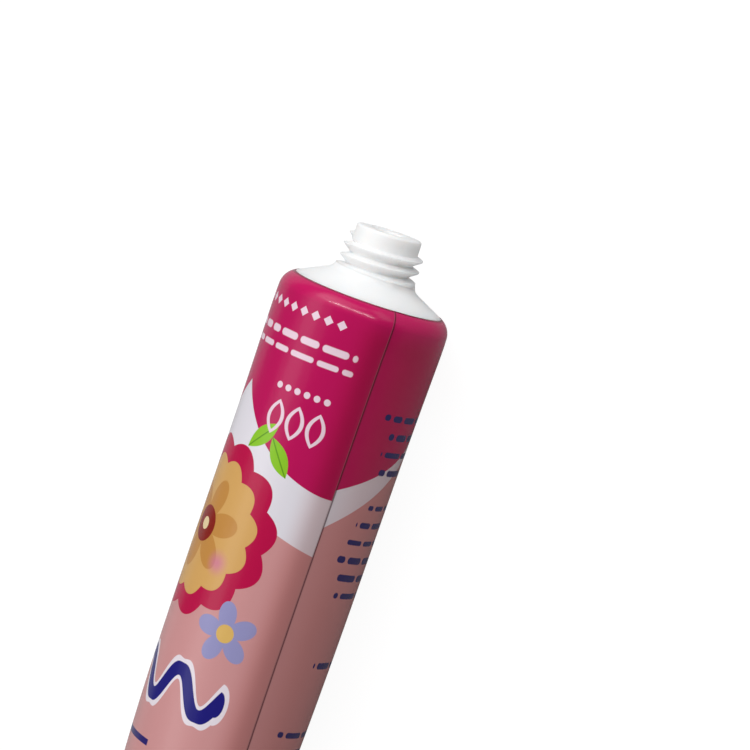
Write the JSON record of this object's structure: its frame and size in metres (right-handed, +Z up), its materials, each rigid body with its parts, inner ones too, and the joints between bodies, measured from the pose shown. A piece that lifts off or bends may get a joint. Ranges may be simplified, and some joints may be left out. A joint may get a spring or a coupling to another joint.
{
  "type": "squeeze tube",
  "caption": "Small laminate squeeze tube with a printed sleeve, a moulded white shoulder and an open screw nozzle, lying on its side.",
  "frame": {"origin": "on the floor, below the middle of the tube's length and of its width as it lies", "axes": "+X along the tube towards its nozzle, +Y across it, +Z up"},
  "size_m": [0.0992, 0.0236, 0.0187],
  "materials": {
    "printed_laminate": "semi-gloss printed laminate",
    "moulded_head": "satin moulded polyethylene"
  },
  "bodies": {
    "root": {"sleeve": "printed_laminate", "head": "moulded_head"}
  },
  "joints": []
}
